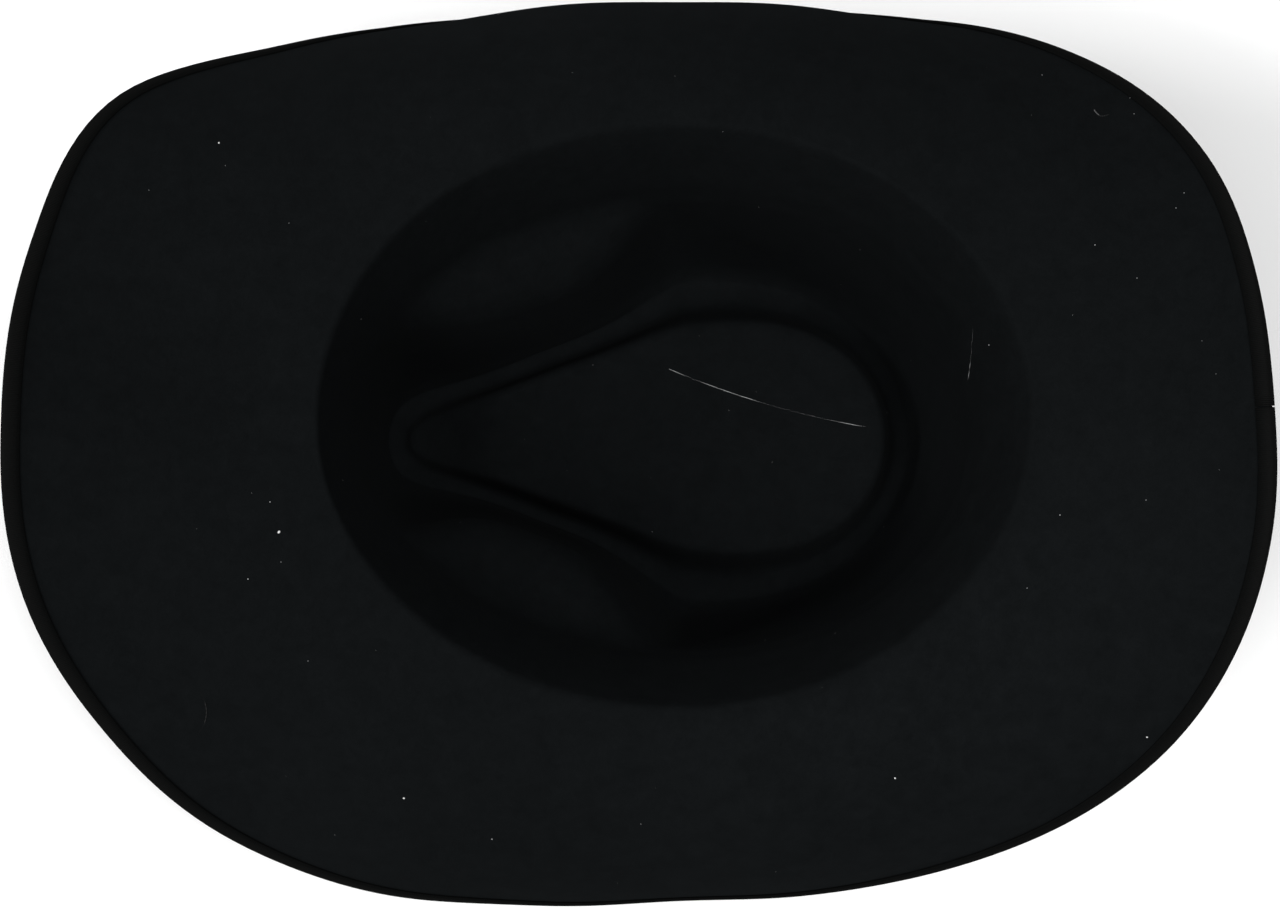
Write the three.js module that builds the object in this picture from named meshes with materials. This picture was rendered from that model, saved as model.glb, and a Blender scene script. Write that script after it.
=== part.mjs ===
// A felt cowboy hat lying upside down on the ridge of its crown, in millimetres.
// +Z points up out of the head opening, -X to the hat's front and +Y to the wearer's left.
// The crown is a teardrop: a sunken plateau inside a ridge, with a pinch on each side of the front.
// The brim is one with the crown, rolled at the sides, and a folded strip binds its edge.
import * as THREE from 'three';

// Head opening, measured where the crown wall breaks into the brim
const OPENING_LENGTH = 207;
const OPENING_WIDTH = 170;
const CROWN_HEIGHT = 106;

// Crest of the ridge that the hat rests on, its egg shape and how far it sits towards the front
const RIDGE_LENGTH = 163;
const RIDGE_WIDTH = 96;
const RIDGE_EGG = 0.28;
const RIDGE_FORWARD = 8;
const LAND_WIDTH = 1.8;

// Sunken plateau inside the ridge
const PLATEAU_LENGTH = 150;
const PLATEAU_WIDTH = 67;
const PLATEAU_EGG = 0.5;
const PLATEAU_DEPTH = 17;
const TIP_LENGTH = 32;
const TIP_DEPTH = 3;

// Pinches at the front, brim and walls
const PINCH_DEPTH = 21;
const BRIM_WIDTH = 95;
const FELT = 2;
const CLOTH = 0.8;
const BINDING_WIDTH = 4.2;
const FIT_GAP = 0.3;
const SEAM_GAP = 0.4;

// Facets round the hat, and steps along a brim section when its slope is added up
const COLUMNS = 64;
const ARC_STEPS = 24;

const FELT_COLOUR = 0x131416;
const CLOTH_COLOUR = 0x1b1815;

// Crown sections from the middle of the plateau to the brim break. In each zone, share is the way from
// one outline to the next, height a share of the zone's height, pinch a share of the pinches' depth,
// back and front shares of their half widths, and land the place across the flat that the ridge rests on.
const CROWN_SECTIONS = [
  { zone: 'plateau', share: 0.22, height: 0.96, pinch: 0, back: 1, front: 1, land: 0 },
  { zone: 'plateau', share: 0.45, height: 0.965, pinch: 0.05, back: 1, front: 1, land: 0 },
  { zone: 'plateau', share: 0.68, height: 0.98, pinch: 0.1, back: 1, front: 1, land: 0 },
  { zone: 'plateau', share: 0.85, height: 0.985, pinch: 0.14, back: 1, front: 1, land: 0 },
  { zone: 'plateau', share: 0.95, height: 0.965, pinch: 0.18, back: 1, front: 1, land: 0 },
  { zone: 'ridge', share: 0, height: 0.9, pinch: 0.2, back: 1, front: 1, land: 0 },
  { zone: 'ridge', share: 0.11, height: 0.72, pinch: 0.24, back: 1, front: 1, land: 0 },
  { zone: 'ridge', share: 0.24, height: 0.42, pinch: 0.29, back: 1, front: 1, land: 0 },
  { zone: 'ridge', share: 0.38, height: 0.16, pinch: 0.35, back: 1, front: 1, land: 0 },
  { zone: 'ridge', share: 0.58, height: 0.035, pinch: 0.43, back: 1, front: 1, land: 0 },
  { zone: 'ridge', share: 1, height: 0, pinch: 0.58, back: 1, front: 1, land: -0.5 },
  { zone: 'wall', share: 0, height: 0, pinch: 0.58, back: 1, front: 1, land: 0.5 },
  { zone: 'wall', share: 0.09, height: 0.018, pinch: 0.7, back: 0.97, front: 1, land: 0 },
  { zone: 'wall', share: 0.16, height: 0.055, pinch: 0.77, back: 0.93, front: 0.98, land: 0 },
  { zone: 'wall', share: 0.22, height: 0.12, pinch: 0.83, back: 0.9, front: 0.95, land: 0 },
  { zone: 'wall', share: 0.29, height: 0.23, pinch: 0.89, back: 0.87, front: 0.9, land: 0 },
  { zone: 'wall', share: 0.36, height: 0.36, pinch: 0.95, back: 0.84, front: 0.85, land: 0 },
  { zone: 'wall', share: 0.42, height: 0.47, pinch: 0.985, back: 0.81, front: 0.8, land: 0 },
  { zone: 'wall', share: 0.465, height: 0.56, pinch: 0.96, back: 0.79, front: 0.76, land: 0 },
  { zone: 'wall', share: 0.485, height: 0.6, pinch: 0.8, back: 0.79, front: 0.74, land: 0 },
  { zone: 'wall', share: 0.5, height: 0.635, pinch: 0.52, back: 0.78, front: 0.72, land: 0 },
  { zone: 'wall', share: 0.52, height: 0.665, pinch: 0.24, back: 0.78, front: 0.7, land: 0 },
  { zone: 'wall', share: 0.55, height: 0.7, pinch: 0.06, back: 0.78, front: 0.7, land: 0 },
  { zone: 'wall', share: 0.6, height: 0.76, pinch: 0, back: 0.78, front: 0.7, land: 0 },
  { zone: 'wall', share: 0.68, height: 0.82, pinch: 0, back: 0.78, front: 0.7, land: 0 },
  { zone: 'wall', share: 0.8, height: 0.9, pinch: 0, back: 0.78, front: 0.7, land: 0 },
  { zone: 'wall', share: 0.92, height: 0.966, pinch: 0, back: 0.78, front: 0.7, land: 0 },
  { zone: 'wall', share: 1, height: 1, pinch: 0, back: 0.78, front: 0.7, land: 0 },
];

// The pinch on each side of the front, where side 1 is the wearer's left: the angle of its middle from the
// back, its half widths in degrees towards the back and the front, and its share of the pinches' depth.
const PINCHES = [
  { side: 1, angle: 117, back: 38, front: 52, depth: 0.92 },
  { side: -1, angle: 117, back: 38, front: 52, depth: 1.1 },
];

// How suddenly a pinch begins at its back end and at its front end
const PINCH_CORNER = 1.8;
const PINCH_FADE = 1.05;

// Brim sections round the hat: the angle from the back, the felt's width as a share of the brim's, and
// the slope in degrees at the break and at the edge, where below zero falls away from the opening.
const BRIM_SECTIONS = [
  { angle: 0, width: 0.73, start: 8, end: 38 },
  { angle: 15, width: 0.725, start: 7, end: 20 },
  { angle: 30, width: 0.775, start: 2, end: -16 },
  { angle: 45, width: 0.825, start: -4, end: -50 },
  { angle: 60, width: 0.88, start: -7, end: -80 },
  { angle: 75, width: 0.965, start: -9, end: -100 },
  { angle: 90, width: 1.04, start: -10, end: -112 },
  { angle: 105, width: 1.02, start: -10, end: -105 },
  { angle: 120, width: 0.965, start: -8, end: -86 },
  { angle: 135, width: 0.935, start: -4, end: -62 },
  { angle: 150, width: 1.02, start: 0, end: -28 },
  { angle: 165, width: 0.945, start: 3, end: 2 },
  { angle: 180, width: 0.94, start: 4, end: 22 },
  { angle: 195, width: 0.965, start: 3, end: 4 },
  { angle: 210, width: 0.97, start: 0, end: -20 },
  { angle: 225, width: 1.02, start: -4, end: -48 },
  { angle: 240, width: 1.015, start: -6, end: -66 },
  { angle: 255, width: 0.995, start: -8, end: -80 },
  { angle: 270, width: 0.96, start: -8, end: -85 },
  { angle: 285, width: 0.935, start: -8, end: -80 },
  { angle: 300, width: 0.915, start: -6, end: -68 },
  { angle: 315, width: 0.89, start: -4, end: -50 },
  { angle: 330, width: 0.815, start: 0, end: -20 },
  { angle: 345, width: 0.755, start: 5, end: 12 },
];

// Rings of facets along a brim section, as shares of the way from the break to the binding's inner edge
const BRIM_RINGS = [0.04, 0.1, 0.19, 0.3, 0.42, 0.55, 0.68, 0.8, 0.91, 1];

const radians = THREE.MathUtils.degToRad;

// Value of one column of the brim's table at an angle in degrees, on a closed Catmull-Rom curve.
function brimColumn(column, angle) {
  const count = BRIM_SECTIONS.length;
  const pitch = 360 / count;
  const turn = THREE.MathUtils.euclideanModulo(angle, 360) / pitch;
  const row = Math.floor(turn);
  const t = turn - row;
  const [a, b, c, d] = [-1, 0, 1, 2].map((k) => BRIM_SECTIONS[(row + k + count) % count][column]);
  return b + 0.5 * t * (c - a + t * (2 * a - 5 * b + 4 * c - d + t * (3 * (b - c) + d - a)));
}

// Point of an egg-shaped outline at an angle in radians, wider towards the back.
function eggOutline(length, width, egg, forward, angle) {
  const across = 0.5 * width * Math.sin(angle) * (1 + egg * Math.cos(angle));
  return new THREE.Vector2(0.5 * length * Math.cos(angle) - forward, across);
}

const openingOutline = (angle) => eggOutline(OPENING_LENGTH, OPENING_WIDTH, 0, 0, angle);
const ridgeOutline = (angle) => eggOutline(RIDGE_LENGTH, RIDGE_WIDTH, RIDGE_EGG, RIDGE_FORWARD, angle);
const plateauOutline = (angle) =>
  eggOutline(PLATEAU_LENGTH, PLATEAU_WIDTH, PLATEAU_EGG, RIDGE_FORWARD, angle);

// Outline that each zone starts from, the one that it ends on and its height.
const ZONES = {
  plateau: { inner: () => new THREE.Vector2(-RIDGE_FORWARD, 0), outer: plateauOutline, height: PLATEAU_DEPTH },
  ridge: { inner: plateauOutline, outer: ridgeOutline, height: PLATEAU_DEPTH },
  wall: { inner: ridgeOutline, outer: openingOutline, height: CROWN_HEIGHT },
};

// How far the pinch on this side pushes the felt towards the middle at an angle in radians, on a section.
function pinchAt(section, angle) {
  const side = Math.sign(Math.sin(angle));
  const fromBack = 180 - Math.abs(THREE.MathUtils.radToDeg(angle) - 180);
  let push = 0;
  for (const pinch of PINCHES.filter((each) => each.side === side)) {
    const back = fromBack < pinch.angle;
    const reach = back ? pinch.back * section.back : pinch.front * section.front;
    const away = Math.min(Math.abs(fromBack - pinch.angle) / reach, 1);
    push += pinch.depth * Math.cos(0.5 * Math.PI * away ** (back ? PINCH_CORNER : PINCH_FADE)) ** 2;
  }
  return PINCH_DEPTH * section.pinch * push;
}

// Share of the dent's depth at a distance along the hat: it gets shallower towards the teardrop's tip.
function dentShare(x) {
  const tip = -RIDGE_FORWARD - 0.5 * PLATEAU_LENGTH;
  return THREE.MathUtils.mapLinear(
    THREE.MathUtils.smoothstep(x, tip, tip + TIP_LENGTH), 0, 1, TIP_DEPTH / PLATEAU_DEPTH, 1,
  );
}

// Point of the crown's inner face on one section, at an angle in radians.
function crownPoint(section, angle) {
  const zone = ZONES[section.zone];
  const plan = zone.inner(angle).lerp(zone.outer(angle), section.share);
  plan.y -= Math.sign(Math.sin(angle)) * pinchAt(section, angle);
  const outward = plan.clone().sub(new THREE.Vector2(-RIDGE_FORWARD, 0)).normalize();
  plan.addScaledVector(outward, section.land * LAND_WIDTH);
  const depth = section.zone === 'wall' ? 1 : dentShare(plan.x);
  return new THREE.Vector3(plan.x, plan.y, FELT + zone.height * section.height * depth);
}

// Points of the brim's inner face at an angle in radians, at each of the given shares of the way from the
// break to the binding's lip, and at the edge. The slope turns evenly along the felt.
function brimPoints(angle, shares) {
  const degrees = THREE.MathUtils.radToDeg(angle);
  const width = BRIM_WIDTH * brimColumn('width', degrees);
  const start = radians(brimColumn('start', degrees));
  const end = radians(brimColumn('end', degrees));
  const out = new THREE.Vector3(Math.cos(angle) / OPENING_LENGTH, Math.sin(angle) / OPENING_WIDTH, 0);
  out.normalize();
  const distances = [...shares.map((share) => share * (width - BINDING_WIDTH)), width];
  return distances.map((distance) => {
    const point = crownPoint(CROWN_SECTIONS.at(-1), angle);
    const step = distance / ARC_STEPS;
    for (let k = 0; k < ARC_STEPS; k += 1) {
      const slope = start + (end - start) * (((k + 0.5) * step) / width);
      point.addScaledVector(out, step * Math.cos(slope));
      point.z += step * Math.sin(slope);
    }
    return point;
  });
}

// Rings of points on the inner face, from the plateau to the brim's edge.
function innerRings() {
  const angles = Array.from({ length: COLUMNS }, (_, column) => (2 * Math.PI * column) / COLUMNS);
  const crown = CROWN_SECTIONS.map((section) => angles.map((angle) => crownPoint(section, angle)));
  const brim = angles.map((angle) => brimPoints(angle, BRIM_RINGS));
  return [...crown, ...brim[0].map((_, row) => brim.map((points) => points[row]))];
}

// Unit normals of the rings, pointing to the side that the head goes in from.
function ringNormals(rings, middle) {
  return rings.map((ring, row) =>
    ring.map((point, column) => {
      const inward = row > 0 ? rings[row - 1][column] : middle;
      const outward = row < rings.length - 1 ? rings[row + 1][column] : point;
      const across = outward.clone().sub(inward);
      const around = ring[(column + 1) % COLUMNS].clone().sub(ring[(column + COLUMNS - 1) % COLUMNS]);
      return across.cross(around).normalize();
    }),
  );
}

// Closed geometry from a list of points and a list of triangles.
function closedGeometry(points, triangles) {
  const geometry = new THREE.BufferGeometry();
  geometry.setAttribute('position', new THREE.Float32BufferAttribute(points.flatMap((p) => p.toArray()), 3));
  geometry.setIndex(triangles.flat());
  geometry.computeVertexNormals();
  return geometry;
}

const plateauMiddle = crownPoint({ ...CROWN_SECTIONS[0], share: 0 }, 0);
const rings = innerRings();
const normals = ringNormals(rings, plateauMiddle);

// One felt body: crown and brim as a wall of even thickness.
function feltGeometry() {
  const outer = rings.map((ring, row) => {
    const rests = row < CROWN_SECTIONS.length && CROWN_SECTIONS[row].land !== 0;
    return ring.map((point, column) =>
      rests ? point.clone().setZ(0) : point.clone().addScaledVector(normals[row][column], -FELT),
    );
  });
  const loops = [...rings, ...outer.reverse()];
  const points = [plateauMiddle, ...loops.flat(), plateauMiddle.clone().setZ(plateauMiddle.z - FELT)];
  const triangles = [];
  for (let column = 0; column < COLUMNS; column += 1) {
    const next = (column + 1) % COLUMNS;
    triangles.push([0, 1 + column, 1 + next]);
    for (let row = 0; row < loops.length - 1; row += 1) {
      const a = 1 + row * COLUMNS;
      const b = a + COLUMNS;
      triangles.push([a + column, b + column, b + next], [a + column, b + next, a + next]);
    }
    const last = 1 + (loops.length - 1) * COLUMNS;
    triangles.push([points.length - 1, last + next, last + column]);
  }
  return closedGeometry(points, triangles);
}

// Point and normal on a ring, part of the way from one column to the next. Rows below zero count back
// from the edge.
function onRing(row, column, t) {
  const next = (column + 1) % COLUMNS;
  return {
    point: rings.at(row)[column].clone().lerp(rings.at(row)[next], t),
    normal: normals.at(row)[column].clone().lerp(normals.at(row)[next], t).normalize(),
  };
}

// Corners of the binding's folded section: a channel round the felt's edge.
function bindingCorners(column, t) {
  const lip = onRing(-2, column, t);
  const edge = onRing(-1, column, t);
  const along = edge.point.clone().sub(lip.point);
  along.addScaledVector(edge.normal, -along.dot(edge.normal)).normalize();
  const inside = FIT_GAP;
  const outside = FIT_GAP + CLOTH;
  const corner = (at, beyond, height) =>
    at.point.clone().addScaledVector(along, beyond).addScaledVector(at.normal, height);
  return [
    corner(lip, 0, inside),
    corner(lip, 0, outside),
    corner(edge, inside, outside),
    corner(edge, outside, inside),
    corner(edge, outside, -FELT - inside),
    corner(edge, inside, -FELT - outside),
    corner(lip, 0, -FELT - outside),
    corner(lip, 0, -FELT - inside),
    corner(edge, inside, -FELT - inside),
    corner(edge, inside, inside),
  ];
}

// The strip folded round the brim's edge, with its two ends meeting at the centre of the back.
function bindingGeometry() {
  const edge = rings.at(-1);
  const seam = (0.5 * SEAM_GAP) / edge[0].distanceTo(edge[1]);
  const loops = [bindingCorners(0, seam)];
  for (let column = 1; column < COLUMNS; column += 1) {
    loops.push(bindingCorners(column, 0));
  }
  loops.push(bindingCorners(COLUMNS - 1, 1 - seam));
  const size = loops[0].length;
  const triangles = [];
  for (let row = 0; row < loops.length - 1; row += 1) {
    for (let k = 0; k < size; k += 1) {
      const a = row * size + k;
      const b = row * size + ((k + 1) % size);
      triangles.push([a, b, a + size], [b, b + size, a + size]);
    }
  }
  const cap = [[0, 1, 2], [0, 2, 9], [9, 2, 3], [9, 3, 4], [9, 4, 8], [8, 4, 5], [8, 5, 6], [8, 6, 7]];
  const last = (loops.length - 1) * size;
  for (const [a, b, c] of cap) {
    triangles.push([a, c, b], [last + a, last + b, last + c]);
  }
  return closedGeometry(loops.flat(), triangles);
}

// Named mesh with a material of its own.
function piece(name, geometry, colour, roughness) {
  const material = new THREE.MeshStandardMaterial({ color: colour, roughness, metalness: 0 });
  const mesh = new THREE.Mesh(geometry, material);
  mesh.name = name;
  return mesh;
}

const hat = new THREE.Group();
hat.add(piece('felt_body', feltGeometry(), FELT_COLOUR, 0.95));
hat.add(piece('edge_binding', bindingGeometry(), CLOTH_COLOUR, 0.85));

// The origin is the middle of the hat's own length and width, on the surface that it rests on.
const middle = new THREE.Box3().setFromObject(hat).getCenter(new THREE.Vector3());
hat.position.set(-middle.x, -middle.y, 0);

export default hat;
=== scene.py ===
"""Black felt cowboy hat, lying upside down on the ridge of its crown on a pale floor.

The hat is one felt body and a narrow strip folded round the brim's edge. +Z points up out of the head
opening, -X to the front of the hat and +Y to the wearer's left. All lengths are in metres.
"""
from __future__ import annotations

import logging
import math
from dataclasses import dataclass, field
from enum import Enum
from typing import NamedTuple

import bpy
import numpy as np
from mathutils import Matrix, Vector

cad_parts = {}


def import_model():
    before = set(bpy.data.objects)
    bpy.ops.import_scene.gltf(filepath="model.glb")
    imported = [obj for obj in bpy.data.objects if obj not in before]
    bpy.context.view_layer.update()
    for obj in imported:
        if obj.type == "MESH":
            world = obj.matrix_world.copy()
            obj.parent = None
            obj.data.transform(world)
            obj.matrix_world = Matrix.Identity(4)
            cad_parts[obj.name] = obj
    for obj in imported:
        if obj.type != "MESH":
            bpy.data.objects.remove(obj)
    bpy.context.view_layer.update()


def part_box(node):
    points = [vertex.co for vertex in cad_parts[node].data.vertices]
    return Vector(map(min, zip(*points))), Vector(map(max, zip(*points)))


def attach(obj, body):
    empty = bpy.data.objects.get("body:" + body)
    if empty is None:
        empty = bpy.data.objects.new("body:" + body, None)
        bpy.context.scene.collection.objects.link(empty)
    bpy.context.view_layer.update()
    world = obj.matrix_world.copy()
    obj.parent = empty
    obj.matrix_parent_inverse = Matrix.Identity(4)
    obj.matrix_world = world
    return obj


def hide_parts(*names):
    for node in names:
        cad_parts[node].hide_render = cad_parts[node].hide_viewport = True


log = logging.getLogger("felt_hat")

MM = 0.001

Triple = tuple[float, float, float]


class Zone(Enum):
    """Part of the crown that a section row belongs to."""

    PLATEAU = "plateau"
    RIDGE = "ridge"
    WALL = "wall"


class CrownRow(NamedTuple):
    """One section of the crown, in shares of its zone and of the pinches' depth and half widths."""

    zone: Zone
    share: float
    height: float
    pinch: float
    back: float
    front: float
    land: float


class BrimRow(NamedTuple):
    """One section of the brim: its width share and its slopes at the break and the edge."""

    width: float
    start: float
    end: float


class Pinch(NamedTuple):
    """One front pinch: side 1 is the wearer's left, its middle and half widths are in degrees."""

    side: int
    angle: float
    back: float
    front: float
    depth: float


class Fluff(Enum):
    """Kinds of lint on the felt, by name."""

    WHITE = "lint_white"
    PALE = "lint_pale"
    GREY = "lint_grey"


class HairRow(NamedTuple):
    """One lint hair: its kind, then in the photograph's pixels its ends, its bow and its half width.

    It is at its widest at the glints, which are shares of the way along it.
    """

    kind: Fluff
    start: tuple[float, float]
    end: tuple[float, float]
    bow: float
    half: float
    glints: tuple[float, ...]


class SpeckRow(NamedTuple):
    """One speck of lint in the photograph's pixels: its place and its radius."""

    x: float
    y: float
    radius: float


CROWN_ROWS = (
    CrownRow(Zone.PLATEAU, 0.22, 0.96, 0.0, 1.0, 1.0, 0.0),
    CrownRow(Zone.PLATEAU, 0.45, 0.965, 0.05, 1.0, 1.0, 0.0),
    CrownRow(Zone.PLATEAU, 0.68, 0.98, 0.1, 1.0, 1.0, 0.0),
    CrownRow(Zone.PLATEAU, 0.85, 0.985, 0.14, 1.0, 1.0, 0.0),
    CrownRow(Zone.PLATEAU, 0.95, 0.965, 0.18, 1.0, 1.0, 0.0),
    CrownRow(Zone.RIDGE, 0.0, 0.9, 0.2, 1.0, 1.0, 0.0),
    CrownRow(Zone.RIDGE, 0.11, 0.72, 0.24, 1.0, 1.0, 0.0),
    CrownRow(Zone.RIDGE, 0.24, 0.42, 0.29, 1.0, 1.0, 0.0),
    CrownRow(Zone.RIDGE, 0.38, 0.16, 0.35, 1.0, 1.0, 0.0),
    CrownRow(Zone.RIDGE, 0.58, 0.035, 0.43, 1.0, 1.0, 0.0),
    CrownRow(Zone.RIDGE, 1.0, 0.0, 0.58, 1.0, 1.0, -0.5),
    CrownRow(Zone.WALL, 0.0, 0.0, 0.58, 1.0, 1.0, 0.5),
    CrownRow(Zone.WALL, 0.09, 0.018, 0.7, 0.97, 1.0, 0.0),
    CrownRow(Zone.WALL, 0.16, 0.055, 0.77, 0.93, 0.98, 0.0),
    CrownRow(Zone.WALL, 0.22, 0.12, 0.83, 0.9, 0.95, 0.0),
    CrownRow(Zone.WALL, 0.29, 0.23, 0.89, 0.87, 0.9, 0.0),
    CrownRow(Zone.WALL, 0.36, 0.36, 0.95, 0.84, 0.85, 0.0),
    CrownRow(Zone.WALL, 0.42, 0.47, 0.985, 0.81, 0.8, 0.0),
    CrownRow(Zone.WALL, 0.465, 0.56, 0.96, 0.79, 0.76, 0.0),
    CrownRow(Zone.WALL, 0.485, 0.6, 0.8, 0.79, 0.74, 0.0),
    CrownRow(Zone.WALL, 0.5, 0.635, 0.52, 0.78, 0.72, 0.0),
    CrownRow(Zone.WALL, 0.52, 0.665, 0.24, 0.78, 0.7, 0.0),
    CrownRow(Zone.WALL, 0.55, 0.7, 0.06, 0.78, 0.7, 0.0),
    CrownRow(Zone.WALL, 0.6, 0.76, 0.0, 0.78, 0.7, 0.0),
    CrownRow(Zone.WALL, 0.68, 0.82, 0.0, 0.78, 0.7, 0.0),
    CrownRow(Zone.WALL, 0.8, 0.9, 0.0, 0.78, 0.7, 0.0),
    CrownRow(Zone.WALL, 0.92, 0.966, 0.0, 0.78, 0.7, 0.0),
    CrownRow(Zone.WALL, 1.0, 1.0, 0.0, 0.78, 0.7, 0.0),
)

# Brim sections at an even pitch round the hat, from the centre of the back towards the wearer's left
BRIM_ROWS = (
    BrimRow(0.73, 8, 38),
    BrimRow(0.725, 7, 20),
    BrimRow(0.775, 2, -16),
    BrimRow(0.825, -4, -50),
    BrimRow(0.88, -7, -80),
    BrimRow(0.965, -9, -100),
    BrimRow(1.04, -10, -112),
    BrimRow(1.02, -10, -105),
    BrimRow(0.965, -8, -86),
    BrimRow(0.935, -4, -62),
    BrimRow(1.02, 0, -28),
    BrimRow(0.945, 3, 2),
    BrimRow(0.94, 4, 22),
    BrimRow(0.965, 3, 4),
    BrimRow(0.97, 0, -20),
    BrimRow(1.02, -4, -48),
    BrimRow(1.015, -6, -66),
    BrimRow(0.995, -8, -80),
    BrimRow(0.96, -8, -85),
    BrimRow(0.935, -8, -80),
    BrimRow(0.915, -6, -68),
    BrimRow(0.89, -4, -50),
    BrimRow(0.815, 0, -20),
    BrimRow(0.755, 5, 12),
)

PINCHES = (Pinch(1, 117, 38, 52, 0.92), Pinch(-1, 117, 38, 52, 1.1))

HAIRS = (
    HairRow(Fluff.WHITE, (669, 369), (866, 427), 6.0, 0.17, (0.03, 0.22, 0.31, 0.40, 0.92)),
    HairRow(Fluff.WHITE, (973, 327), (968, 380), -0.8, 0.16, (0.72, 0.90)),
    HairRow(Fluff.GREY, (200, 692), (199, 733), -7.0, 0.60, (0.3, 0.4, 0.5, 0.6, 0.7)),
    HairRow(Fluff.PALE, (1094, 110), (1109, 114), 4.0, 0.70, (0.05, 0.15, 0.25, 0.35)),
)

SPECKS = (
    SpeckRow(219, 143, 1.0),
    SpeckRow(270, 502, 0.6),
    SpeckRow(279, 532, 1.5),
    SpeckRow(281, 562, 0.4),
    SpeckRow(248, 579, 0.6),
    SpeckRow(286, 776, 0.3),
    SpeckRow(289, 223, 0.3),
    SpeckRow(308, 661, 0.3),
    SpeckRow(361, 319, 0.3),
    SpeckRow(404, 798, 1.4),
    SpeckRow(492, 839, 0.6),
    SpeckRow(641, 824, 0.3),
    SpeckRow(895, 778, 1.0),
    SpeckRow(989, 345, 0.5),
    SpeckRow(1027, 588, 0.35),
    SpeckRow(1042, 75, 0.4),
    SpeckRow(1060, 515, 0.4),
    SpeckRow(1095, 245, 0.6),
    SpeckRow(1130, 98, 0.3),
    SpeckRow(1134, 114, 0.3),
    SpeckRow(1137, 278, 0.4),
    SpeckRow(1146, 500, 0.35),
    SpeckRow(1147, 737, 1.0),
    SpeckRow(1176, 208, 0.4),
    SpeckRow(1184, 193, 0.4),
)


@dataclass(frozen=True)
class HatSizes:
    """Sizes of the felt, as the solids have them."""

    opening_length: float = 207 * MM
    opening_width: float = 170 * MM
    crown_height: float = 106 * MM
    ridge_length: float = 163 * MM
    ridge_width: float = 96 * MM
    ridge_egg: float = 0.28
    ridge_forward: float = 8 * MM
    land_width: float = 1.8 * MM
    plateau_length: float = 150 * MM
    plateau_width: float = 67 * MM
    plateau_egg: float = 0.5
    plateau_depth: float = 17 * MM
    tip_length: float = 32 * MM
    tip_depth: float = 3 * MM
    pinch_depth: float = 21 * MM
    pinch_corner: float = 1.8
    pinch_fade: float = 1.05
    brim_width: float = 95 * MM
    felt: float = 2 * MM
    binding_width: float = 4.2 * MM


def as_points(x: np.ndarray, y: np.ndarray, z: np.ndarray) -> np.ndarray:
    """Stacks three arrays of one shape into points.

    Args:
        x: First coordinates.
        y: Second coordinates.
        z: Third coordinates.

    Returns:
        An array with a last axis of three.
    """
    return np.stack(np.broadcast_arrays(x, y, z), axis=-1)


def unit(vectors: np.ndarray) -> np.ndarray:
    """Returns the vectors along the last axis with length one."""
    return vectors / np.maximum(np.linalg.norm(vectors, axis=-1, keepdims=True), 1e-12)


def run_length(path: np.ndarray) -> np.ndarray:
    """Returns the distance along a path at each of its points, from nothing at the first."""
    return np.concatenate([[0.0], np.cumsum(np.linalg.norm(np.diff(path, axis=0), axis=-1))])


def closed_curve(values: np.ndarray, angles: np.ndarray) -> np.ndarray:
    """Reads a closed Catmull-Rom curve through values at an even pitch round the turn.

    Args:
        values: One value a row of the table.
        angles: Angles in radians.

    Returns:
        The value at each angle.
    """
    count = len(values)
    turn = np.mod(angles, 2 * np.pi) / (2 * np.pi) * count
    row = np.floor(turn).astype(int)
    t = turn - row
    a, b, c, d = (values[(row + k) % count] for k in (-1, 0, 1, 2))
    return b + 0.5 * t * (c - a + t * (2 * a - 5 * b + 4 * c - d + t * (3 * (b - c) + d - a)))


def spline_rows(rows: np.ndarray, counts: np.ndarray) -> np.ndarray:
    """Runs a smooth curve through each column of a grid of points.

    The curve is a cubic with the tangents of a parabola through each three rows, and its parameter is
    the mean distance between the rows.

    Args:
        rows: Points, rows first.
        counts: Steps to take between each row and the next.

    Returns:
        The grid with the steps filled in.
    """
    gap = np.linalg.norm(np.diff(rows, axis=0), axis=-1).mean(axis=1)[:, None, None]
    speed = np.diff(rows, axis=0) / gap
    middle = (speed[1:] * gap[:-1] + speed[:-1] * gap[1:]) / (gap[1:] + gap[:-1])
    tangent = np.concatenate([speed[:1], middle, speed[-1:]])
    parts = []
    for k, count in enumerate(counts):
        t = (np.arange(count) / count)[:, None, None]
        h = gap[k]
        start = (1 + 2 * t) * (1 - t) ** 2 * rows[k] + t * (1 - t) ** 2 * h * tangent[k]
        end = t**2 * (3 - 2 * t) * rows[k + 1] + t**2 * (t - 1) * h * tangent[k + 1]
        parts.append(start + end)
    return np.concatenate([*parts, rows[-1:]])


def grid_normals(grid: np.ndarray, closed: bool = True) -> np.ndarray:
    """Normals of a grid of points, across the rows and round the columns.

    Args:
        grid: Points, rows first.
        closed: Whether the last column meets the first.

    Returns:
        Unit normals, on the side that the head goes in from.
    """
    across = np.gradient(grid, axis=0)
    if closed:
        around = np.roll(grid, -1, axis=1) - np.roll(grid, 1, axis=1)
    else:
        around = np.gradient(grid, axis=1)
    return unit(np.cross(across, around))


def grid_faces(rows: int, columns: int, closed: bool = True, first: int = 0) -> np.ndarray:
    """Four-cornered faces of a grid whose rows run outwards and columns turn to the left.

    Args:
        rows: Number of rows.
        columns: Number of columns.
        closed: Whether the last column meets the first.
        first: Number of the grid's first point.

    Returns:
        Corner numbers, four a face.
    """
    last = columns if closed else columns - 1
    row, column = np.meshgrid(np.arange(rows - 1), np.arange(last), indexing="ij")
    after = (column + 1) % columns
    corners = [row * columns + column, (row + 1) * columns + column]
    corners += [(row + 1) * columns + after, row * columns + after]
    return np.stack(corners, axis=-1).reshape(-1, 4) + first


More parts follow.
